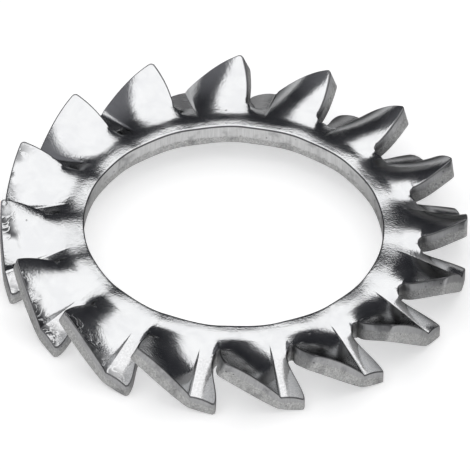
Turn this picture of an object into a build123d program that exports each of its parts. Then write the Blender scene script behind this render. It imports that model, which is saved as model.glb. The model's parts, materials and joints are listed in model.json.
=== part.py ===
"""Serrated lock washer: one stamped ring of spring steel with twisted, coined teeth round it.

The origin is the centre of the bore, half way through the sheet, and +Z is the washer's axis.
Seen from above, the clockwise edge of each tooth is raised and its other edge is lowered.
"""
from build123d import *
from math import cos, radians, tan
import os

# ---------------------------------------------------------------- driving dimensions (mm)
bore_diameter = 13.0
tip_diameter = 20.3
sheet_thickness = 0.92
tooth_count = 16

flat_width = 0.85              # flat ring from the bore to the bend, where the sheet leaves the plane
shoulder_width = 0.72          # from the bend to the roots of the slots between the teeth
gullet_width = 0.26            # width of a slot at its root
gullet_relief = 0.012          # how far the round root of a slot reaches past the slot's sides
raised_setback = 0.54          # sideways gap at the tips, from mid-slot to the raised corner
lowered_setback = 0.02         # the same from mid-slot to the lowered corner
lowered_bulge = 0.12           # how far the lowered edge swells past mid-slot beyond the parting
tooth_clearance = 0.09         # gap beside the raised edge where the lowered edge parts from it

raised_height = 1.44           # top of the raised corner above the middle plane
raised_edge_thickness = 0.60   # upright thickness of the sheet at the raised corner
raised_edge_lean = 28.0        # degrees that the cut wall of the raised edge leans at the tip
lowered_depth = 1.06           # top of the lowered corner below the middle plane
lowered_edge_thickness = 0.50  # upright thickness of the sheet at the lowered corner
ridge_height = 0.42            # top of the soft ridge that runs down the middle of the blade
ridge_gather = 1.5             # over 1: the middle of the blade leaves the plane slowly, then fast
lowered_gather = 0.7           # under 1: the lowered edge drops fast, then slowly

coin_width = 0.97              # flat land coined beside the lowered edge, at the tip
coin_rise = 0.42               # height of its inner side over the lowered corner
riser_width = 0.17             # steep step between that land and the blade, at the tip
riser_root_width = 0.03        # the same where the step starts
riser_height = 0.30
heel_width = 1.12              # flat heel under the lowered edge
heel_rise = 0.30

rim_break = 0.05               # broken edges of the bore

# ---------------------------------------------------------------- worked-out dimensions
half_sheet = sheet_thickness / 2
half_slot = gullet_width / 2
pitch = 360 / tooth_count
half_pitch = pitch / 2
bend_station = bore_diameter / 2 + flat_width
tip_radius = tip_diameter / 2
root_station = bend_station + shoulder_width
root_radius = root_station / cos(radians(half_pitch))
overrun_station = tip_radius + half_sheet
raised_rise = raised_height - raised_edge_thickness + half_sheet
lowered_drop = lowered_depth + half_sheet
parting = sheet_thickness / (raised_rise + lowered_drop)   # share of the tooth before its edges part


def side(station):
    """Half the width of one tooth's share of the ring, at a distance from the axis."""
    return station * tan(radians(half_pitch))


raised_corner = raised_setback - side(tip_radius)
lowered_corner = side(tip_radius) - lowered_setback


def blend(start, finish, share):
    """A length or height that is a share of the way from its start to its finish."""
    return start + (finish - start) * share


def station_at(reach):
    """Distance from the axis, a part of the way from the slot roots to the tips."""
    return blend(root_station, tip_radius, reach)


def raised_wall(reach, height):
    """Sideways place of the cut wall of a raised edge, upright at the root and leaning at the tip."""
    root_wall = half_slot - side(root_station)
    tip_wall = raised_corner + tan(radians(raised_edge_lean)) * (height - raised_height)
    return blend(root_wall, tip_wall, reach)


def section_points(station):
    """Corners of the sheet's section across a tooth, at a distance from the axis.

    Each corner moves from its place in the flat sheet to its place at the tip.  The middle of
    the blade starts to move at the bend and its edges start at the roots of the slots.  Past
    the roots the section runs on beyond both cut edges, so that the waste cut later leaves
    clean walls there.
    """
    bent = max((station - bend_station) / (tip_radius - bend_station), 0)
    reach = max((station - root_station) / (tip_radius - root_station), 0)
    twist = bent ** ridge_gather
    drop = reach ** lowered_gather
    edge = side(station) + 2 * lowered_bulge * reach
    edge_at_tip = side(tip_radius) + 2 * lowered_bulge
    scale = station / tip_radius

    blade_slope = (ridge_height - raised_height) / raised_corner
    raised_top = raised_height + blade_slope * (raised_corner + edge_at_tip)
    crease_top = coin_rise - lowered_depth
    past_lowered = edge_at_tip - lowered_corner
    lowered_top = -lowered_depth - coin_rise / coin_width * past_lowered
    heel_low = -lowered_depth - lowered_edge_thickness
    lowered_low = heel_low - heel_rise / heel_width * past_lowered
    low_corner = raised_corner - raised_edge_thickness * tan(radians(raised_edge_lean))
    low_corner_height = raised_height - raised_edge_thickness
    belly_run = lowered_corner - heel_width - low_corner
    belly_slope = (low_corner_height - heel_low - heel_rise) / belly_run
    raised_low = low_corner_height + belly_slope * (low_corner + edge_at_tip)

    crease = (lowered_corner - coin_width) * scale
    heel = (lowered_corner - heel_width) * scale
    riser_top = crease - max(riser_width * twist, riser_root_width)
    return {
        "raised_top": (-edge, blend(half_sheet, raised_top, reach)),
        "ridge": (0, blend(half_sheet, ridge_height, twist)),
        "riser_top": (riser_top, blend(half_sheet, crease_top + riser_height, twist)),
        "crease": (crease, blend(half_sheet, crease_top, twist)),
        "lowered_top": (edge, blend(half_sheet, lowered_top, drop)),
        "lowered_low": (edge, blend(-half_sheet, lowered_low, drop)),
        "heel": (heel, blend(-half_sheet, heel_low + heel_rise, twist)),
        "raised_low": (-edge, blend(-half_sheet, raised_low, reach)),
    }


def across(station):
    """Plane that crosses the tooth at a station, with its X along the ring and its Y up."""
    return Plane(origin=(station, 0, 0), x_dir=(0, 1, 0), z_dir=(1, 0, 0))


def tooth_section(station):
    """The sheet's closed section across a tooth."""
    at = section_points(station)
    with BuildSketch(across(station)) as section:
        with BuildLine():
            Spline(at["raised_top"], at["ridge"], at["riser_top"])
            Polyline(at["riser_top"], at["crease"], at["lowered_top"], at["lowered_low"],
                     at["heel"], at["raised_low"], at["raised_top"])
        make_face()
    return section.sketch


def stations(first, last, count):
    """Evenly spaced distances from the axis, ends included."""
    return [first + (last - first) * step / (count - 1) for step in range(count)]


# ---------------------------------------------------------------- waste cut off beside a tooth
clear = raised_height + sheet_thickness
waste_side = 2 * side(tip_radius)


def waste_section(station, wall_high, wall_low, outer):
    """Section of the waste between the cut wall of an edge and a line outside the tooth."""
    with BuildSketch(across(station)) as section:
        with BuildLine():
            Polyline((outer, -clear), (outer, clear), (wall_high, clear), (wall_low, -clear), close=True)
        make_face()
    return section.sketch


with BuildPart() as raised_waste:
    outer = raised_wall(1, -clear) - waste_side
    loft([waste_section(station_at(reach), raised_wall(reach, clear), raised_wall(reach, -clear), outer)
          for reach in (0, 1)], ruled=True)

# The lowered edge keeps clear of the next tooth's raised edge until it has dropped under it.
with BuildPart() as lowered_waste:
    swell = (parting + 1) / 2
    next_wall = 2 * side(station_at(parting)) + raised_wall(parting, raised_rise * parting - half_sheet)
    walls = {0: side(root_station) - half_slot,
             parting: next_wall - tooth_clearance,
             swell: side(station_at(swell)) + lowered_bulge,
             1: lowered_corner}
    loft([waste_section(station_at(reach), wall, wall, waste_side) for reach, wall in walls.items()])

# ---------------------------------------------------------------- one tooth with its share of the ring
with BuildPart() as tooth:
    loft([tooth_section(station) for station in stations(bend_station, root_station, 3)])
    loft([tooth_section(station) for station in stations(root_station, overrun_station, 4)])
    with BuildSketch(Plane.XY.offset(-clear)):
        Circle(tip_radius)
    extrude(amount=2 * clear, mode=Mode.INTERSECT)
    add(raised_waste.part, mode=Mode.SUBTRACT)
    add(lowered_waste.part, mode=Mode.SUBTRACT)
    with BuildSketch(Plane.XY.offset(-clear)):
        with PolarLocations(root_radius, 2, start_angle=-half_pitch, angular_range=pitch, endpoint=True):
            Circle(half_slot + gullet_relief)
    extrude(amount=2 * clear, mode=Mode.SUBTRACT)

# ---------------------------------------------------------------- the washer
with BuildPart() as washer:
    with BuildSketch(Plane.XY.offset(-half_sheet)):
        RegularPolygon(bend_station, tooth_count, major_radius=False, rotation=half_pitch)
        Circle(bore_diameter / 2, mode=Mode.SUBTRACT)
    extrude(amount=sheet_thickness)
    chamfer(washer.edges().filter_by(GeomType.CIRCLE), rim_break)
    with PolarLocations(0, tooth_count):
        add(tooth.part)

washer.part.label = "lock_washer"
os.makedirs("parts", exist_ok=True)
export_step(washer.part, "parts/lock_washer.step")
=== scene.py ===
"""Serrated lock washer in bright zinc-plated spring steel, lying on a pale studio floor.

The washer's lengths are millimetres until its mesh is made, and the studio's are metres.  Each
tooth is worked out in its own frame: x runs outwards along the middle of the tooth, y runs
anticlockwise across it and z is up.  The clockwise edge of a tooth (negative y) is the raised one.
"""
import json
from math import cos, pi, radians, sin, tan

import bmesh
import bpy
import numpy as np
from mathutils import Matrix, Vector


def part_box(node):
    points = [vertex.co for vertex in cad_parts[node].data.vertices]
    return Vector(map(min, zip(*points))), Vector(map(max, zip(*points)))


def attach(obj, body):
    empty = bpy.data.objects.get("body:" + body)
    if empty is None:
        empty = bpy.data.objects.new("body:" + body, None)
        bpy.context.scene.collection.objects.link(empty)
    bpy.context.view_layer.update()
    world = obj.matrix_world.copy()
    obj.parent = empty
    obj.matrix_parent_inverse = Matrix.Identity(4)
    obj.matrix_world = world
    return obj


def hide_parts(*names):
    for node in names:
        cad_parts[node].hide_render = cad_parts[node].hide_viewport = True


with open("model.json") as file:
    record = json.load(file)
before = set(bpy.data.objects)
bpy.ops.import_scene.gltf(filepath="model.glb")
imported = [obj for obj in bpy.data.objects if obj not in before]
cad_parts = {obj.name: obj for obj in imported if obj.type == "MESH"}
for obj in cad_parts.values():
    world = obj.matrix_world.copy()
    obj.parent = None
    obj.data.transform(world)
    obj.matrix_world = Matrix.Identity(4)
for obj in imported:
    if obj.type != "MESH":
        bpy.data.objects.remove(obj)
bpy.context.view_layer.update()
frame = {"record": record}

# ---------------------------------------------------------------- sizes of the washer (mm)
MM = 0.001
bore = next(mount for mount in frame["record"]["mounts"] if mount["kind"] == "bore")
bore_radius = bore["dims"]["r_mm"]
tip_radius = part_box("lock_washer")[1].x / MM
raised_height = 1.44           # the raised corners stand this much over the middle of the sheet
lowered_depth = 1.06           # the lowered edge of the upper face lies this much under it
sheet_thickness = 0.92
tooth_count = 16

# blank: the ring, the shoulder inside the slots and the slots themselves
flat_width = 0.85
shoulder_width = 0.72
gullet_width = 0.26            # across a slot's round root
gullet_relief = 0.012
raised_setback = 0.54          # at the tip, from the line between two teeth to the raised edge
lowered_setback = 0.02         # and to the lowered one
lowered_bulge = 0.12
tooth_clearance = 0.09

# twist of a tooth
raised_edge_thickness = 0.60
raised_edge_lean = 28.0        # degrees
lowered_edge_thickness = 0.50
ridge_height = 0.50            # middle of the blade, at the tip
ridge_bow = -0.045             # and how much it sags half way out
ridge_gather = 1.0             # over 1, the twist of a part gathers towards the tip
lowered_gather = 0.84
raised_start, raised_softness = 8.08, 0.60    # where each part of the sheet starts to leave the plane,
bend_start, bend_softness = 7.27, 0.155       # and how gently
lowered_start, lowered_softness = 7.30, 0.15

# coined land beside the lowered edge, the riser up to the blade and the heel under the land
coin_width = 0.97
coin_rise = 0.42
land_roll = 1.9                # over 1, the land rolls down towards the lowered edge
riser_width = 0.17
riser_root_width = 0.06
riser_height = 0.22
heel_width = 1.12
heel_rise = 0.30
heel_softness = 0.05

# ring between the teeth
joined_sharpness = 1.0         # how steeply the sheet turns back up at mid-slot: at the bore, and
slot_sharpness = 7.0           # at a slot's root
wave_height = 0.019            # wave that the twist of the teeth leaves in the ring, at the bore
wave_swell = 0.022             # and at the end of its growth, a little outside the bore
wave_growth = 0.65
wave_reach = 3.0
wave_shape = 2.6               # brings the top of a (1 - a^2) to about 1
shoulder_drop = 0.048          # the ring's outer part sinks this much below its rim, half way at
shoulder_place = 7.18          # this radius
shoulder_span = 0.62

# edges
die_roll = 0.06                # rounded edges on the punch side of the blank
burr_round = 0.035             # tighter rounding on the other side
corner_length = 0.16           # rounded corners at a tooth's tip, along the tooth and across it
raised_corner_round = 0.16
lowered_corner_round = 0.10

# ---------------------------------------------------------------- grid of one tooth's share
blade_cells = 24               # across the blade, the riser and the coined land
riser_cells = 8
land_cells = 12
ring_rows = 7                  # outwards over the flat ring, the shoulder, a slot's root and a wall
shoulder_rows = 11
root_rows = 6
wall_rows = 22
corner_rows = 5
round_cells = 3                # round an edge, and down the wall between two edges
wall_cells = 3
riser_span = radians(1.6)      # the fine columns of the grid cover this much before the crease
crease_span = radians(0.5)     # and this much past it
settling_steps = 12            # passes that settle a point of a cut wall at its radius
weld_distance = 0.0001         # points nearer than this are one
rolled_face, tooth_edge, bore_wall = 0, 1, 2    # numbers of the three finishes

# ---------------------------------------------------------------- worked-out sizes
half_sheet = sheet_thickness / 2
half_slot = gullet_width / 2
root_round = half_slot + gullet_relief
half_pitch = pi / tooth_count
bend_station = bore_radius + flat_width
root_station = bend_station + shoulder_width
root_radius = root_station / cos(half_pitch)
lean = tan(radians(raised_edge_lean))
raised_rise = raised_height - raised_edge_thickness + half_sheet
lowered_drop = lowered_depth + half_sheet
parting = sheet_thickness / (raised_rise + lowered_drop)


def side(station):
    """Half the width of one tooth's share of the ring, at a distance from the axis."""
    return station * tan(half_pitch)


raised_corner = raised_setback - side(tip_radius)
lowered_corner = side(tip_radius) - lowered_setback
root_wall = side(root_station) - half_slot
crease_angle = np.arctan2(lowered_corner - coin_width, tip_radius)
column_knots = np.cumsum([0, blade_cells, riser_cells, land_cells])
columns = np.arange(column_knots[-1] + 1)


def blend(start, finish, share):
    """The number that is a share of the way from start to finish."""
    return start + (finish - start) * share


def smooth(share):
    """A share held between 0 and 1, with level ends: 3 s^2 - 2 s^3."""
    share = np.clip(share, 0, 1)
    return share * share * (3 - 2 * share)


def soft_ramp(x, start, softness):
    """A ramp that is 0 well before start and 1 at the tip, with a rounded beginning."""
    def rise(at):
        return (at - start + np.sqrt((at - start) ** 2 + softness ** 2)) / 2
    first = rise(bore_radius)
    return np.maximum(rise(x) - first, 0) / (rise(tip_radius) - first)


def forming(x):
    """How far the middle, the raised edge and the lowered edge of the sheet have moved from the
    ring's plane at station x, each from 0 to 1 at the tip."""
    return (soft_ramp(x, bend_start, bend_softness) ** ridge_gather,
            soft_ramp(x, raised_start, raised_softness),
            soft_ramp(x, lowered_start, lowered_softness) ** lowered_gather)


def beyond_root(x):
    """How far station x lies on the way from the slots' roots, 0, to the tip, 1."""
    return np.maximum((x - root_station) / (tip_radius - root_station), 0)


def section_edge(x):
    """Half the width of the section that the heights are measured across, waste included."""
    return side(x) + 2 * lowered_bulge * beyond_root(x)


def free_of_neighbour(x, y):
    """How freely the sheet follows its tooth: 1 past the slots' roots, and 1 - |a|^n inside them,
    where a is the angle as a share of half a pitch and n grows from the bore to the root."""
    radius = np.hypot(x, y)
    along = np.clip((radius - bore_radius) / (root_radius - bore_radius), 0, 1)
    sharpness = joined_sharpness * (slot_sharpness / joined_sharpness) ** along
    across = np.clip(np.abs(np.arctan2(y, x)) / half_pitch, 0, 1)
    return np.where(radius > root_radius, 1.0, 1 - across ** sharpness)


def ring_wave(x, y):
    """Wave of the ring: -c h a (1 - a^2), which falls across each tooth and rises across each slot,
    where a is the angle as a share of half a pitch and c is wave_shape.  Its height h grows a little
    outside the bore and fades as the teeth take over.  The outer part of the ring also sinks."""
    across = np.clip(np.arctan2(y, x) / half_pitch, -1, 1)
    radius = np.hypot(x, y)
    grown = blend(wave_height, wave_swell, smooth((radius - bore_radius) / wave_growth))
    fade = smooth(1 - (radius - bore_radius - wave_growth) / wave_reach)
    sunk = shoulder_drop * smooth((radius - shoulder_place) / shoulder_span + 0.5)
    return -wave_shape * grown * fade * across * (1 - across ** 2) - sunk


def top_height(x, y):
    """Upper face: across a tooth, a parabola through the raised edge, the ridge and the riser's
    top, then the coined land, which falls as a power of the way across it.  A step with rounded
    ends, the riser, joins the two."""
    twist, reach, drop = forming(x)
    edge, edge_at_tip = section_edge(x), section_edge(tip_radius)
    blade_slope = (ridge_height - raised_height) / raised_corner
    raised = blend(half_sheet, raised_height + blade_slope * (raised_corner + edge_at_tip), reach)
    ridge = blend(half_sheet, ridge_height, twist) + 4 * ridge_bow * twist * (1 - twist)
    crease_height = coin_rise - lowered_depth
    crease = (lowered_corner - coin_width) * x / tip_radius
    riser = crease - np.maximum(riser_width * twist, riser_root_width)
    riser_top = blend(half_sheet, crease_height + riser_height, twist)
    land_start = blend(half_sheet, crease_height, twist)
    past_lowered = edge_at_tip - lowered_corner
    land_end = blend(half_sheet, -lowered_depth - coin_rise / coin_width * past_lowered, drop)

    left_slope = (ridge - raised) / edge
    right_slope = (riser_top - ridge) / riser
    blade = ridge + left_slope * y + (right_slope - left_slope) / (riser + edge) * y * (y + edge)
    across_land = np.clip((y - crease) / (edge - crease), 0, 1)
    land = land_start + (land_end - land_start) * across_land ** land_roll
    formed = blend(blade, land, smooth((y - riser) / (crease - riser)))
    return half_sheet + ring_wave(x, y) + (formed - half_sheet) * free_of_neighbour(x, y)


def bottom_height(x, y):
    """Lower face: a straight belly under the blade and a straight heel under the land, joined by a
    soft corner (the larger of the two lines, rounded where they cross)."""
    twist, reach, drop = forming(x)
    edge, edge_at_tip = section_edge(x), section_edge(tip_radius)
    heel_low = -lowered_depth - lowered_edge_thickness
    past_lowered = edge_at_tip - lowered_corner
    low_corner = raised_corner - raised_edge_thickness * lean
    low_corner_height = raised_height - raised_edge_thickness
    belly_run = lowered_corner - heel_width - low_corner
    belly_slope = (low_corner_height - heel_low - heel_rise) / belly_run
    raised = blend(-half_sheet, low_corner_height + belly_slope * (low_corner + edge_at_tip), reach)
    heel = (lowered_corner - heel_width) * x / tip_radius
    heel_height = blend(-half_sheet, heel_low + heel_rise, twist)
    lowered = blend(-half_sheet, heel_low - heel_rise / heel_width * past_lowered, drop)
    belly = raised + (heel_height - raised) * (y + edge) / (heel + edge)
    under_land = heel_height + (lowered - heel_height) * (y - heel) / (edge - heel)
    gap = np.sqrt((belly - under_land) ** 2 + (heel_softness * np.minimum(twist, 1)) ** 2)
    formed = (belly + under_land + gap) / 2
    return -half_sheet + ring_wave(x, y) + (formed + half_sheet) * free_of_neighbour(x, y)


def raised_wall(radius, height):
    """Cut wall of the raised edge at each radius: straight from the slot's root, where it is
    upright, to the tip, where it leans, so that a lower face meets it further from mid-tooth."""
    y = np.full_like(radius, raised_corner)
    for _ in range(settling_steps):
        x = np.sqrt(radius ** 2 - y ** 2)
        out = beyond_root(x)
        at_tip = raised_corner + lean * (height(x, y) - raised_height)
        y = -root_wall + out * (at_tip + root_wall)
    return y


def lowered_wall(radius):
    """Cut wall of the lowered edge at each radius: upright, on the cubic through four places: at
    the root, where it parts from the next tooth's raised edge, at the swell and at the tip."""
    stops = np.array([0, parting, (1 + parting) / 2, 1])
    stations = root_station + (tip_radius - root_station) * stops
    at_tip = raised_corner + lean * (raised_rise * parting - half_sheet - raised_height)
    next_wall = 2 * side(stations[1]) - root_wall + parting * (at_tip + root_wall)
    places = [root_wall, next_wall - tooth_clearance, side(stations[2]) + lowered_bulge, lowered_corner]
    cubic = np.polyfit(stops, places, 3)
    y = np.full_like(radius, lowered_corner)
    for _ in range(settling_steps):
        x = np.sqrt(radius ** 2 - y ** 2)
        y = np.polyval(cubic, beyond_root(x))
    return y


def side_path(sign, height):
    """Plan of one edge, from mid-slot to the tip: a quarter circle round the slot's root, the cut
    wall and a rounded corner.  sign is -1 for the raised edge and 1 for the lowered one."""
    turn = np.linspace(0, pi / 2, root_rows)
    outwards = np.array([cos(half_pitch), sign * sin(half_pitch)])
    towards_tooth = np.array([sin(half_pitch), -sign * cos(half_pitch)])
    root = (root_radius - root_round * np.cos(turn))[:, None] * outwards
    root = root + (root_round * np.sin(turn))[:, None] * towards_tooth

    corner_start = tip_radius - corner_length
    turn = np.linspace(0, pi / 2, corner_rows + 1)[1:]
    radius = np.linspace(np.hypot(*root[-1]), corner_start, wall_rows + 1)[1:]
    radius = np.concatenate([radius, corner_start + corner_length * np.sin(turn)])
    wall = raised_wall(radius, height) if sign < 0 else lowered_wall(radius)
    corner_round = raised_corner_round if sign < 0 else lowered_corner_round
    inset = np.zeros_like(radius)
    inset[-corner_rows:] = corner_round * (1 - np.cos(turn))
    y = wall - sign * inset
    x = np.sqrt(radius ** 2 - y ** 2)
    return np.concatenate([root, np.stack([x, y], axis=1)])


def column_angles(first, last):
    """Angles of the grid's columns in each row, between the angles of its two ends."""
    ends = [first, np.full_like(first, crease_angle - riser_span),
            np.full_like(first, crease_angle + crease_span), last]
    parts = []
    for low, high, start, stop in zip(ends, ends[1:], column_knots, column_knots[1:]):
        share = (np.arange(start, stop) - start) / (stop - start)
        parts.append(low[:, None] + (high - low)[:, None] * share)
    return np.concatenate(parts + [last[:, None]], axis=1)


def inward_normals(path):
    """Unit normals of the outline that point into the metal: its tangents turned left."""
    tangent = np.gradient(path, axis=0)
    tangent /= np.linalg.norm(tangent, axis=1, keepdims=True)
    normals = np.stack([-tangent[:, 1], tangent[:, 0]], axis=1)
    normals[0] = [-cos(half_pitch), sin(half_pitch)]
    normals[-1] = [-cos(half_pitch), -sin(half_pitch)]
    return normals


def face_grid(height, edge_round):
    """One face of a tooth's share of the ring, and its outline.

    Rows follow the radius and columns the angle.  Past the slot's root the two ends of a row lie
    on the outline moved inwards by the edge's rounding.  Returns the grid's points, the sharp
    outline's points and the outline's inset points.
    """
    left = side_path(-1, height)
    right = side_path(1, height)
    tip_angles = column_angles(np.arctan2(left[-1:, 1], left[-1:, 0]),
                               np.arctan2(right[-1:, 1], right[-1:, 0]))[0]
    tip = tip_radius * np.stack([np.cos(tip_angles), np.sin(tip_angles)], axis=1)
    outline = np.concatenate([left, tip[1:-1], right[::-1]])
    normals = inward_normals(outline)
    side_points = len(left)
    normals[side_points - 1:-side_points + 1] = -np.stack([np.cos(tip_angles), np.sin(tip_angles)], axis=1)
    inset = outline + edge_round * normals

    left, right = inset[:side_points], inset[::-1][:side_points]
    first_row = bore_radius + edge_round
    last_row = np.hypot(*left[0])
    ring = np.concatenate([np.linspace(first_row, bend_station, ring_rows, endpoint=False),
                           np.linspace(bend_station, last_row, shoulder_rows, endpoint=False)])
    first_radius = np.concatenate([ring, np.hypot(left[:, 0], left[:, 1])])
    last_radius = np.concatenate([ring, np.hypot(right[:, 0], right[:, 1])])
    first_angle = np.concatenate([np.full_like(ring, -half_pitch), np.arctan2(left[:, 1], left[:, 0])])
    last_angle = np.concatenate([np.full_like(ring, half_pitch), np.arctan2(right[:, 1], right[:, 0])])
    angle = column_angles(first_angle, last_angle)
    radius = first_radius[:, None] + (last_radius - first_radius)[:, None] * columns / columns[-1]
    x, y = radius * np.cos(angle), radius * np.sin(angle)
    grid = np.stack([x, y, height(x, y)], axis=-1)
    return grid, with_height(outline, height), with_height(inset, height)


def with_height(path, height):
    """Points of a plan path lifted to a face."""
    return np.concatenate([path, height(path[:, :1], path[:, 1:])], axis=1)


def round_edge(on_face, corner, on_wall):
    """Points round an edge: the quadratic curve from the face to the wall with the sharp corner
    as its control point."""
    t = np.linspace(0, 1, round_cells + 1)[:, None, None]
    return (1 - t) ** 2 * on_face + 2 * t * (1 - t) * corner + t ** 2 * on_wall


def edge_strip(top_inset, top_corner, bottom_corner, bottom_inset):
    """The sheared edge as rows from the upper face to the lower one: a rounded edge, the straight
    wall and the other rounded edge."""
    down = bottom_corner - top_corner
    down /= np.linalg.norm(down, axis=1, keepdims=True)
    wall_top = top_corner + die_roll * down
    wall_bottom = bottom_corner - burr_round * down
    share = np.linspace(0, 1, wall_cells + 1)[1:-1, None, None]
    wall = wall_top + (wall_bottom - wall_top) * share
    return np.concatenate([round_edge(top_inset, top_corner, wall_top), wall,
                           round_edge(bottom_inset, bottom_corner, wall_bottom)[::-1]])


def grid_faces(rows, cols, first, flip):
    """Four-sided faces of a grid whose points start at number first."""
    row, col = np.meshgrid(np.arange(rows - 1), np.arange(cols - 1), indexing="ij")
    corner = (first + row * cols + col).ravel()
    quads = np.stack([corner, corner + cols, corner + cols + 1, corner + 1], axis=1)
    return quads[:, ::-1] if flip else quads


def on_coined_land(grid):
    """How far each point of the upper face lies on the coined land, for its finish: 0 or 1, with a
    fade over the crease and past the slot's root."""
    x, y = grid[..., 0], grid[..., 1]
    crease = (lowered_corner - coin_width) * x / tip_radius
    past_crease = np.clip((y - crease) / land_fade + 0.5, 0, 1)
    return past_crease * np.clip((np.hypot(x, y) - root_radius) / land_fade, 0, 1)


def run_and_depth(strip):
    """Place of each point of a sheared edge: its run in mm along the first row and its depth from
    0 at the upper face to 1 at the lower one."""
    step = np.linalg.norm(np.diff(strip[0], axis=0), axis=1)
    run = np.concatenate([[0], np.cumsum(step)])
    fall = strip[:1, :, 2] - strip[..., 2]
    return np.broadcast_to(run, fall.shape), fall / fall[-1:]


def tooth_share():
    """One tooth's share of the washer: its points, its faces with their finish, and for each point
    how far it lies on the coined land, its run along the sheared edge and its depth down it."""
    top, top_corner, top_inset = face_grid(top_height, die_roll)
    bottom, bottom_corner, bottom_inset = face_grid(bottom_height, burr_round)
    edge = edge_strip(top_inset, top_corner, bottom_corner, bottom_inset)

    bore_angle = np.arctan2(top[0, :, 1], top[0, :, 0])
    rim = bore_radius * np.stack([np.cos(bore_angle), np.sin(bore_angle)], axis=1)
    wall = edge_strip(top[0], with_height(rim, top_height), with_height(rim, bottom_height), bottom[0])

    points, faces, finishes, lands, runs, depths = [], [], [], [], [], []
    for grid, flip, finish in ((top, False, rolled_face), (bottom, True, rolled_face),
                               (edge, False, tooth_edge), (wall, True, bore_wall)):
        rows, cols = grid.shape[:2]
        off = np.zeros((rows, cols))
        faces.append(grid_faces(rows, cols, sum(len(part) for part in points), flip))
        points.append(grid.reshape(-1, 3))
        finishes.append(np.full(len(faces[-1]), finish))
        land = on_coined_land(grid) if grid is top else off
        run, depth = (off, off) if finish == rolled_face else run_and_depth(grid)
        lands.append(land.ravel())
        runs.append(run.ravel())
        depths.append(depth.ravel())
    return [np.concatenate(parts) for parts in (points, faces, finishes, lands, runs, depths)]


def washer_mesh():
    """The whole washer as one closed mesh: sixteen equal shares, each an upper face, a lower face,
    the sheared edge round the tooth and the wall of the bore, turned about the axis and welded."""
    points, faces, finishes, lands, runs, depths = tooth_share()
    turns = np.arange(tooth_count) * 2 * half_pitch
    x = points[:, 0] * np.cos(turns)[:, None] - points[:, 1] * np.sin(turns)[:, None]
    y = points[:, 0] * np.sin(turns)[:, None] + points[:, 1] * np.cos(turns)[:, None]
    z = np.broadcast_to(points[:, 2], x.shape)
    all_points = np.stack([x, y, z], axis=-1).reshape(-1, 3) * MM
    all_faces = (faces + np.arange(tooth_count)[:, None, None] * len(points)).reshape(-1, 4)

    mesh = bpy.data.meshes.new("lock_washer_surface")
    mesh.from_pydata(all_points, [], all_faces)
    mesh.polygons.foreach_set("material_index", np.tile(finishes, tooth_count))
    mesh.polygons.foreach_set("use_smooth", np.ones(len(all_faces), dtype=bool))
    land = mesh.attributes.new("coined_land", "FLOAT", "POINT")
    land.data.foreach_set("value", np.tile(lands, tooth_count).astype(np.float32))
    edge_map = mesh.uv_layers.new(name="sheared_edge_map")
    run = runs + np.arange(tooth_count)[:, None] * (runs.max() + 1)
    corners = np.stack([run.ravel(), np.tile(depths, tooth_count)], axis=1)[all_faces.ravel()]
    edge_map.data.foreach_set("uv", corners.astype(np.float32).ravel())

    welded = bmesh.new()
    welded.from_mesh(mesh)
    bmesh.ops.remove_doubles(welded, verts=welded.verts, dist=weld_distance * MM)
    welded.to_mesh(mesh)
    welded.free()
    return mesh


# ---------------------------------------------------------------- colours and sizes of the finishes (mm)
land_fade = 0.12               # width over which the coined land's finish fades into the blade's

zinc_bright, zinc_mottled = (0.69, 0.695, 0.70, 1), (0.655, 0.66, 0.67, 1)
zinc_coined, zinc_coined_grain = (0.60, 0.60, 0.605, 1), (0.70, 0.70, 0.705, 1)
zinc_pit = (0.10, 0.10, 0.105, 1)
scuffed_metal = (0.035, 0.036, 0.04, 1)
shear_stain = (0.14, 0.14, 0.145, 1)
shear_pit = (0.09, 0.09, 0.095, 1)
# painted shade for the rounded rims at the top and bottom of the cut edges
painted_rim_shade_colour = (0.05, 0.05, 0.055, 1)

rubbed_direction = (-0.98, -0.20, 0)   # the tips on this side of the washer are scuffed,
rubbed_from, rubbed_fully = 6.4, 8.6   # more and more between these distances from the middle
scuff_raggedness = 1.8                 # this times a noise is added to a point's radius, and
scuff_start, scuff_full = 10.3, 11.0   # the scuffs grow between these sums
scuff_depth = 0.02
pit_depth = 0.006
line_counts = (14, 0.8, 1)     # drawn lines to the mm along an edge, and to its whole depth
drawn_line_height = 0.006
torn_line_height = 0.002
torn_grain_height = 0.008      # extra height of the grain in the torn band
band_softness = 0.05           # share of an edge's depth

mid_tones = (0.3, 0.7)         # the range of a noise that is stretched to 0..1

# ---------------------------------------------------------------- materials
def add_node(tree, kind, settings, sockets):
    """A node with its settings and its sockets' values; a value that is a socket is joined."""
    made = tree.nodes.new("ShaderNode" + kind)
    for name, value in settings.items():
        setattr(made, name, value)
    for name, value in sockets.items():
        if isinstance(value, bpy.types.NodeSocket):
            tree.links.new(value, made.inputs[name])
        else:
            made.inputs[name].default_value = value
    return made


def arithmetic(tree, operation, first, second=0.0):
    """A sum, product or other step of arithmetic."""
    return add_node(tree, "Math", {"operation": operation}, {0: first, 1: second}).outputs[0]


def vector_step(tree, operation, first, second, output):
    """A step of arithmetic on vectors, and which of its outputs to give."""
    return add_node(tree, "VectorMath", {"operation": operation}, {0: first, 1: second}).outputs[output]


def smooth_range(tree, value, low, high):
    """A value taken smoothly from the range low..high to 0..1."""
    return add_node(tree, "MapRange", {"interpolation_type": "SMOOTHSTEP"},
                    {"Value": value, "From Min": low, "From Max": high}).outputs[0]


def mixed(tree, share, first, second):
    """A colour that goes from the first to the second with the share."""
    return add_node(tree, "Mix", {"data_type": "RGBA"}, {0: share, 6: first, 7: second}).outputs[2]


def weighted_sum(tree, start, terms):
    """A start value plus each term times its weight."""
    for value, weight in terms:
        start = arithmetic(tree, "ADD", start, arithmetic(tree, "MULTIPLY", value, weight))
    return start


def dimmed(colour, share):
    """A colour at a share of its brightness."""
    return tuple(share * channel for channel in colour[:3]) + (1,)


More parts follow.
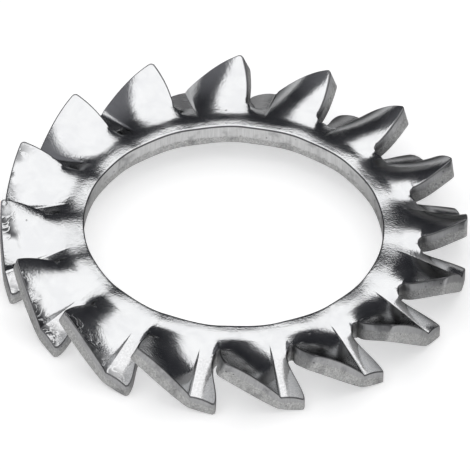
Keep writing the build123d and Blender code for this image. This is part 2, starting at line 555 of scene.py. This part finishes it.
def noise(tree, position, scale, detail, roughness=0.5, distortion=0.0):
    """Noise round 0.5; scale is the number of its waves to a unit of the position."""
    return add_node(tree, "TexNoise", {}, {"Vector": position, "Scale": scale, "Detail": detail,
                                           "Roughness": roughness, "Distortion": distortion}).outputs["Fac"]


def link(tree, inputs, values):
    """Links each value to the input of its name."""
    for name, value in values.items():
        tree.links.new(value, inputs[name])


def new_group(name, inputs, outputs):
    """An empty node group with named inputs and outputs; vectors are given as None."""
    group = bpy.data.node_groups.new(name, "ShaderNodeTree")
    for socket, value in inputs.items():
        kind = "NodeSocketVector" if value is None else "NodeSocketFloat"
        made = group.interface.new_socket(socket, in_out="INPUT", socket_type=kind)
        if value is not None:
            made.default_value = value
    for socket in outputs:
        group.interface.new_socket(socket, in_out="OUTPUT", socket_type="NodeSocketFloat")
    return group, group.nodes.new("NodeGroupInput").outputs, group.nodes.new("NodeGroupOutput").inputs


def plated_grain_group():
    """Grain of the plating: fine grain, a broader mottle and the height of both in millimetres."""
    group, given, result = new_group(
        "plated_grain", {"Position": None, "Grain Size": 0.1, "Grain Height": 0.003,
                         "Mottle Size": 0.7, "Mottle Height": 0.01}, ("Grain", "Mottle", "Height"))
    fine, broad = (arithmetic(group, "DIVIDE", 1, given[size]) for size in ("Grain Size", "Mottle Size"))
    grain = noise(group, given["Position"], fine, detail=2, roughness=0.6)
    mottle = noise(group, given["Position"], broad, detail=3, roughness=0.55, distortion=0.4)
    height = arithmetic(group, "ADD", arithmetic(group, "MULTIPLY", grain, given["Grain Height"]),
                        arithmetic(group, "MULTIPLY", mottle, given["Mottle Height"]))
    link(group, result, {"Grain": smooth_range(group, grain, *mid_tones),
                         "Mottle": smooth_range(group, mottle, *mid_tones), "Height": height})
    return group


def pitting_group():
    """Scattered pits: small round spots round random points, of which only some are kept."""
    group, given, result = new_group(
        "pitting", {"Position": None, "Spacing": 0.5, "Pit Size": 0.1, "Kept": 0.3}, ("Pits",))
    per_mm = arithmetic(group, "DIVIDE", 1, given["Spacing"])
    spots = add_node(group, "TexVoronoi", {}, {"Vector": given["Position"], "Scale": per_mm,
                                               "Randomness": 1.0}).outputs
    reach = arithmetic(group, "DIVIDE", given["Pit Size"], given["Spacing"])
    inside = arithmetic(group, "SUBTRACT", reach, spots["Distance"])
    outline = noise(group, given["Position"], scale=9.0, detail=2)
    ragged = weighted_sum(group, -0.12, ((outline, 0.25),))
    spot = smooth_range(group, arithmetic(group, "ADD", inside, ragged), low=0.0, high=0.08)
    chosen = add_node(group, "SeparateColor", {}, {"Color": spots["Color"]}).outputs[0]
    kept = arithmetic(group, "LESS_THAN", chosen, given["Kept"])
    link(group, result, {"Pits": arithmetic(group, "MULTIPLY", spot, kept)})
    return group


def sheared_band_group():
    """Marks of the shear on a cut edge: upright lines that the punch drew in the burnished band,
    the torn band under it, painted shade on the rounded rims, stains and the height in mm."""
    group, given, result = new_group(
        "sheared_band", {"Position": None, "Place": None, "Burnish Share": 0.5},
        ("Lines", "Torn", "Painted Rim Shade", "Stain", "Height"))
    place, burnish = given["Place"], given["Burnish Share"]
    drawn = add_node(group, "Mapping", {}, {"Vector": place, "Scale": line_counts}).outputs[0]
    lines = smooth_range(group, noise(group, drawn, scale=1.0, detail=2), *mid_tones)
    depth = add_node(group, "SeparateXYZ", {}, {0: place}).outputs["Y"]
    wander = arithmetic(group, "SUBTRACT", noise(group, given["Position"], scale=2.2, detail=2), 0.5)
    wandering_depth = weighted_sum(group, depth, ((wander, 0.35),))
    torn = smooth_range(group, wandering_depth,
                        low=arithmetic(group, "SUBTRACT", burnish, band_softness),
                        high=arithmetic(group, "ADD", burnish, band_softness))
    # Painted shade: the rounded rims at the top and bottom of the edge are marked to be darkened.
    rim = arithmetic(group, "MAXIMUM", smooth_range(group, depth, low=0.07, high=0.02),
                     smooth_range(group, depth, low=0.95, high=0.985))
    cloud = noise(group, given["Position"], scale=1.3, detail=3, roughness=0.6)
    stain = smooth_range(group, cloud, low=0.50, high=0.72)
    line_height = weighted_sum(group, drawn_line_height, ((torn, torn_line_height - drawn_line_height),))
    link(group, result, {"Lines": lines, "Torn": torn, "Painted Rim Shade": rim, "Stain": stain,
                         "Height": arithmetic(group, "MULTIPLY", lines, line_height)})
    return group


plated_grain = plated_grain_group()
pitting = pitting_group()
sheared_band = sheared_band_group()


def placed(tree, group, sockets):
    """A copy of a group in a material, with its own values."""
    return add_node(tree, "Group", {"node_tree": group}, sockets).outputs


def new_material(name):
    """A node material with its Principled shader joined to its output."""
    material = bpy.data.materials.new(name)
    material.use_nodes = True
    tree = material.node_tree
    tree.nodes.clear()
    shader = tree.nodes.new("ShaderNodeBsdfPrincipled")
    output = tree.nodes.new("ShaderNodeOutputMaterial")
    tree.links.new(shader.outputs["BSDF"], output.inputs["Surface"])
    return material, tree, shader


def place_in_mm(tree):
    """Place of a point on the piece, in millimetres."""
    here = add_node(tree, "TexCoord", {}, {}).outputs["Object"]
    return add_node(tree, "Mapping", {}, {"Vector": here, "Scale": (1 / MM, 1 / MM, 1 / MM)}).outputs[0]


def metal(shader, edge_tint):
    """Makes the shader a metal; edge_tint is its brightness at a glancing angle."""
    shader.inputs["Metallic"].default_value = 1.0
    shader.inputs["Specular Tint"].default_value = (edge_tint, edge_tint, edge_tint, 1)


def join_finish(tree, shader, colour, roughness, height):
    """Joins a painted finish to the shader; the height is in millimetres."""
    bump = add_node(tree, "Bump", {}, {"Strength": 1.0, "Distance": MM, "Height": height})
    link(tree, shader.inputs, {"Base Color": colour, "Roughness": roughness,
                               "Normal": bump.outputs["Normal"]})


def scuffed_tips(tree, position):
    """Mask of the dark scuffs with curled scratches in them, on the tips of the rubbed side."""
    flat = vector_step(tree, "MULTIPLY", position, (1, 1, 0), "Vector")
    radius = vector_step(tree, "LENGTH", flat, (0, 0, 0), "Value")
    cloud = noise(tree, position, scale=0.95, detail=3)
    ragged = weighted_sum(tree, radius, ((cloud, scuff_raggedness),))
    near_tip = smooth_range(tree, ragged, scuff_start, scuff_full)
    along = vector_step(tree, "DOT_PRODUCT", position, rubbed_direction, "Value")
    patch = arithmetic(tree, "MULTIPLY", near_tip, smooth_range(tree, along, rubbed_from, rubbed_fully))
    broken = smooth_range(tree, noise(tree, position, scale=0.8, detail=2), low=0.40, high=0.56)
    swirl = arithmetic(tree, "SUBTRACT", noise(tree, position, scale=1.2, detail=2, distortion=1.4), 0.5)
    curls = smooth_range(tree, arithmetic(tree, "ABSOLUTE", swirl), low=0.05, high=0.015)
    between_curls = weighted_sum(tree, 1.0, ((curls, -0.85),))
    return arithmetic(tree, "MULTIPLY", arithmetic(tree, "MULTIPLY", patch, broken), between_curls)


def zinc_face():
    """Bright zinc on the rolled faces: finely grained, a little mottled, duller on the coined
    lands, pitted here and there, and scuffed on the tips of one side."""
    material, tree, shader = new_material("bright_zinc_face")
    metal(shader, edge_tint=0.03)
    position = place_in_mm(tree)
    skin = placed(tree, plated_grain, {"Position": position, "Grain Size": 0.10, "Grain Height": 0.0060,
                                       "Mottle Size": 0.75, "Mottle Height": 0.010})
    pits = placed(tree, pitting, {"Position": position, "Spacing": 0.5, "Pit Size": 0.055,
                                  "Kept": 0.14})["Pits"]
    land = add_node(tree, "Attribute", {"attribute_name": "coined_land"}, {}).outputs["Fac"]
    scuff = scuffed_tips(tree, position)

    colour = mixed(tree, skin["Mottle"], zinc_bright, zinc_mottled)
    coined = mixed(tree, skin["Grain"], zinc_coined, zinc_coined_grain)
    for mask, strength, mark in ((land, 0.8, coined), (pits, 0.45, zinc_pit), (scuff, 0.94, scuffed_metal)):
        colour = mixed(tree, arithmetic(tree, "MULTIPLY", mask, strength), colour, mark)
    roughness = weighted_sum(tree, 0.15, ((skin["Mottle"], 0.06), (land, 0.03), (scuff, 0.2)))
    height = weighted_sum(tree, skin["Height"], ((pits, -pit_depth), (scuff, -scuff_depth)))
    join_finish(tree, shader, colour, roughness, height)
    return material


def sheared_wall(name, burnished, fractured, burnish_share, painted_rim_shade_strength):
    """Cut edge of the sheet: a burnished band that the punch drew smooth with upright lines in it,
    a torn, duller band under it and painted shade on the rounded rims at its top and bottom."""
    material, tree, shader = new_material(name)
    metal(shader, edge_tint=0.25)
    position = place_in_mm(tree)
    skin = placed(tree, plated_grain, {"Position": position, "Grain Size": 0.07, "Grain Height": 0.006,
                                       "Mottle Size": 0.5, "Mottle Height": 0.02})
    pits = placed(tree, pitting, {"Position": position, "Spacing": 0.3, "Pit Size": 0.05,
                                  "Kept": 0.35})["Pits"]
    place = add_node(tree, "UVMap", {"uv_map": "sheared_edge_map"}, {}).outputs["UV"]
    shear = placed(tree, sheared_band, {"Position": position, "Place": place,
                                        "Burnish Share": burnish_share})

    # For the tooth edge the burnished colour is dark: a painted dark reflection.
    smooth_band = mixed(tree, shear["Lines"], dimmed(burnished, 0.85), burnished)
    rough_band = mixed(tree, skin["Grain"], dimmed(fractured, 0.6), fractured)
    colour = mixed(tree, shear["Torn"], smooth_band, rough_band)
    # the rim mark is painted shade; the stains and pits are the metal's own
    for mask, strength, mark in ((shear["Stain"], 0.5, shear_stain), (pits, 0.7, shear_pit),
                                 (shear["Painted Rim Shade"], painted_rim_shade_strength, painted_rim_shade_colour)):
        colour = mixed(tree, arithmetic(tree, "MULTIPLY", mask, strength), colour, mark)
    roughness = weighted_sum(tree, 0.3, ((shear["Torn"], 0.18), (skin["Mottle"], 0.08)))
    torn_grain = arithmetic(tree, "MULTIPLY", skin["Grain"], shear["Torn"])
    height = weighted_sum(tree, skin["Height"], ((shear["Height"], 1.0), (torn_grain, torn_grain_height)))
    join_finish(tree, shader, colour, roughness, height)
    return material


# ---------------------------------------------------------------- the washer
washer = bpy.data.objects.new("lock_washer_dressed", washer_mesh())
bpy.context.collection.objects.link(washer)
finishes = {
    rolled_face: zinc_face(),
    # The tooth edge's burnished band is painted dark (0.38 against 0.58 for the torn band): a painted dark
    # reflection.
    tooth_edge: sheared_wall("sheared_tooth_edge", burnished=(0.38, 0.38, 0.385, 1),
                             fractured=(0.58, 0.58, 0.575, 1), burnish_share=0.4, painted_rim_shade_strength=0.6),
    bore_wall: sheared_wall("pierced_bore_wall", burnished=(0.58, 0.58, 0.58, 1),
                            fractured=(0.62, 0.62, 0.615, 1), burnish_share=0.6, painted_rim_shade_strength=0.85),
}
for number in sorted(finishes):
    washer.data.materials.append(finishes[number])
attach(washer, "root")
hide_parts("lock_washer")

# ---------------------------------------------------------------- floor, camera, lamp and world (metres)
floor_reach = 2.0
floor_glow = 0.43              # lifts the floor to white for the camera, mirrors and glass
ceiling_height = 0.5
ceiling_edge = radians(41.0)   # how high its edge stands over the horizon, seen from the washer
ceiling_radiance = 1.32
white = (1, 1, 1, 1)
black = (0, 0, 0, 1)
dark_surround = (0.026, 0.027, 0.032, 1)
left_glow = (0.17, 0.17, 0.18, 1)
horizon_start, horizon_end = radians(1), radians(3)
glow_start, glow_full = 0.45, 0.95    # cosines of the angle from the camera's left

camera_azimuth = radians(262.35)
camera_elevation = radians(41.6)
camera_roll = radians(2.02)
camera_distance = 0.30
camera_clip = (0.01, 10)
frame_width = 20.417 * MM
aim_right, aim_up = 0.0738 * MM, -0.039 * MM

right = Vector((-sin(camera_azimuth), cos(camera_azimuth), 0))
back = Vector((cos(camera_azimuth) * cos(camera_elevation),
               sin(camera_azimuth) * cos(camera_elevation), sin(camera_elevation)))


def studio_floor(level):
    """Pale floor that keeps the washer's shadow."""
    material, tree, shader = new_material("pale_floor")
    shader.inputs["Base Color"].default_value = (0.80, 0.80, 0.80, 1)
    shader.inputs["Roughness"].default_value = 0.9
    shader.inputs["Specular IOR Level"].default_value = 0.1
    shader.inputs["Emission Color"].default_value = white
    ray = add_node(tree, "LightPath", {}, {}).outputs
    seen = arithmetic(tree, "MAXIMUM", ray["Is Camera Ray"], ray["Is Glossy Ray"])
    seen = arithmetic(tree, "MAXIMUM", seen, ray["Is Transmission Ray"])
    tree.links.new(arithmetic(tree, "MULTIPLY", seen, floor_glow), shader.inputs["Emission Strength"])

    mesh = bpy.data.meshes.new("studio_floor")
    corners = [(-floor_reach, -floor_reach), (floor_reach, -floor_reach),
               (floor_reach, floor_reach), (-floor_reach, floor_reach)]
    mesh.from_pydata([corner + (level,) for corner in corners], [], [(0, 1, 2, 3)])
    mesh.materials.append(material)
    floor = bpy.data.objects.new("studio_floor", mesh)
    bpy.context.collection.objects.link(floor)
    return floor


def studio_camera():
    """Camera with parallel rays, turned a little about its own axis."""
    up = back.cross(right)
    rolled_right = right * cos(camera_roll) + up * sin(camera_roll)
    rolled_up = up * cos(camera_roll) - right * sin(camera_roll)
    camera = bpy.data.objects.new("camera", bpy.data.cameras.new("camera"))
    bpy.context.collection.objects.link(camera)
    camera.data.type = "ORTHO"
    camera.data.ortho_scale = frame_width
    camera.data.clip_start, camera.data.clip_end = camera_clip
    turn = Matrix((rolled_right, rolled_up, back)).transposed().to_4x4()
    place = back * camera_distance + rolled_right * aim_right + rolled_up * aim_up
    camera.matrix_world = Matrix.Translation(place) @ turn
    bpy.context.scene.camera = camera


def ceiling_lamp():
    """Round luminous ceiling over the washer; its power is pi^2 times radius^2 times radiance."""
    lamp = bpy.data.lights.new("ceiling", "AREA")
    lamp.shape = "DISK"
    radius = ceiling_height / tan(ceiling_edge)
    lamp.size = 2 * radius
    lamp.energy = ceiling_radiance * (pi * radius) ** 2
    holder = bpy.data.objects.new("ceiling", lamp)
    holder.location = (0, 0, ceiling_height)
    bpy.context.collection.objects.link(holder)


def eased_ramp(tree, value, stops):
    """Colours along a value, eased between two stops."""
    ramp = add_node(tree, "ValToRGB", {}, {"Fac": value})
    ramp.color_ramp.interpolation = "EASE"
    for element, (position, colour) in zip(ramp.color_ramp.elements, stops):
        element.position, element.color = position, colour
    return ramp.outputs["Color"]


def studio_world():
    """Surroundings: white below the horizon, dark above it, with a faint glow on one side."""
    world = bpy.data.worlds.new("studio")
    bpy.context.scene.world = world
    world.use_nodes = True
    tree = world.node_tree
    tree.nodes.clear()
    direction = add_node(tree, "TexCoord", {}, {}).outputs["Generated"]
    rise = add_node(tree, "SeparateXYZ", {}, {0: direction}).outputs["Z"]
    leftward = vector_step(tree, "DOT_PRODUCT", direction, -right, "Value")
    surround = eased_ramp(tree, rise, ((sin(horizon_start), white), (sin(horizon_end), dark_surround)))
    glow = eased_ramp(tree, leftward, ((glow_start, black), (glow_full, left_glow)))
    both = add_node(tree, "Mix", {"data_type": "RGBA", "blend_type": "ADD"}, {0: 1.0, 6: surround, 7: glow})
    shade = add_node(tree, "Background", {}, {"Color": both.outputs[2]})
    add_node(tree, "OutputWorld", {}, {"Surface": shade.outputs[0]})


floor = studio_floor(min(corner[2] for corner in washer.bound_box))
studio_camera()
ceiling_lamp()
studio_world()
bpy.context.scene.view_settings.view_transform = "Standard"
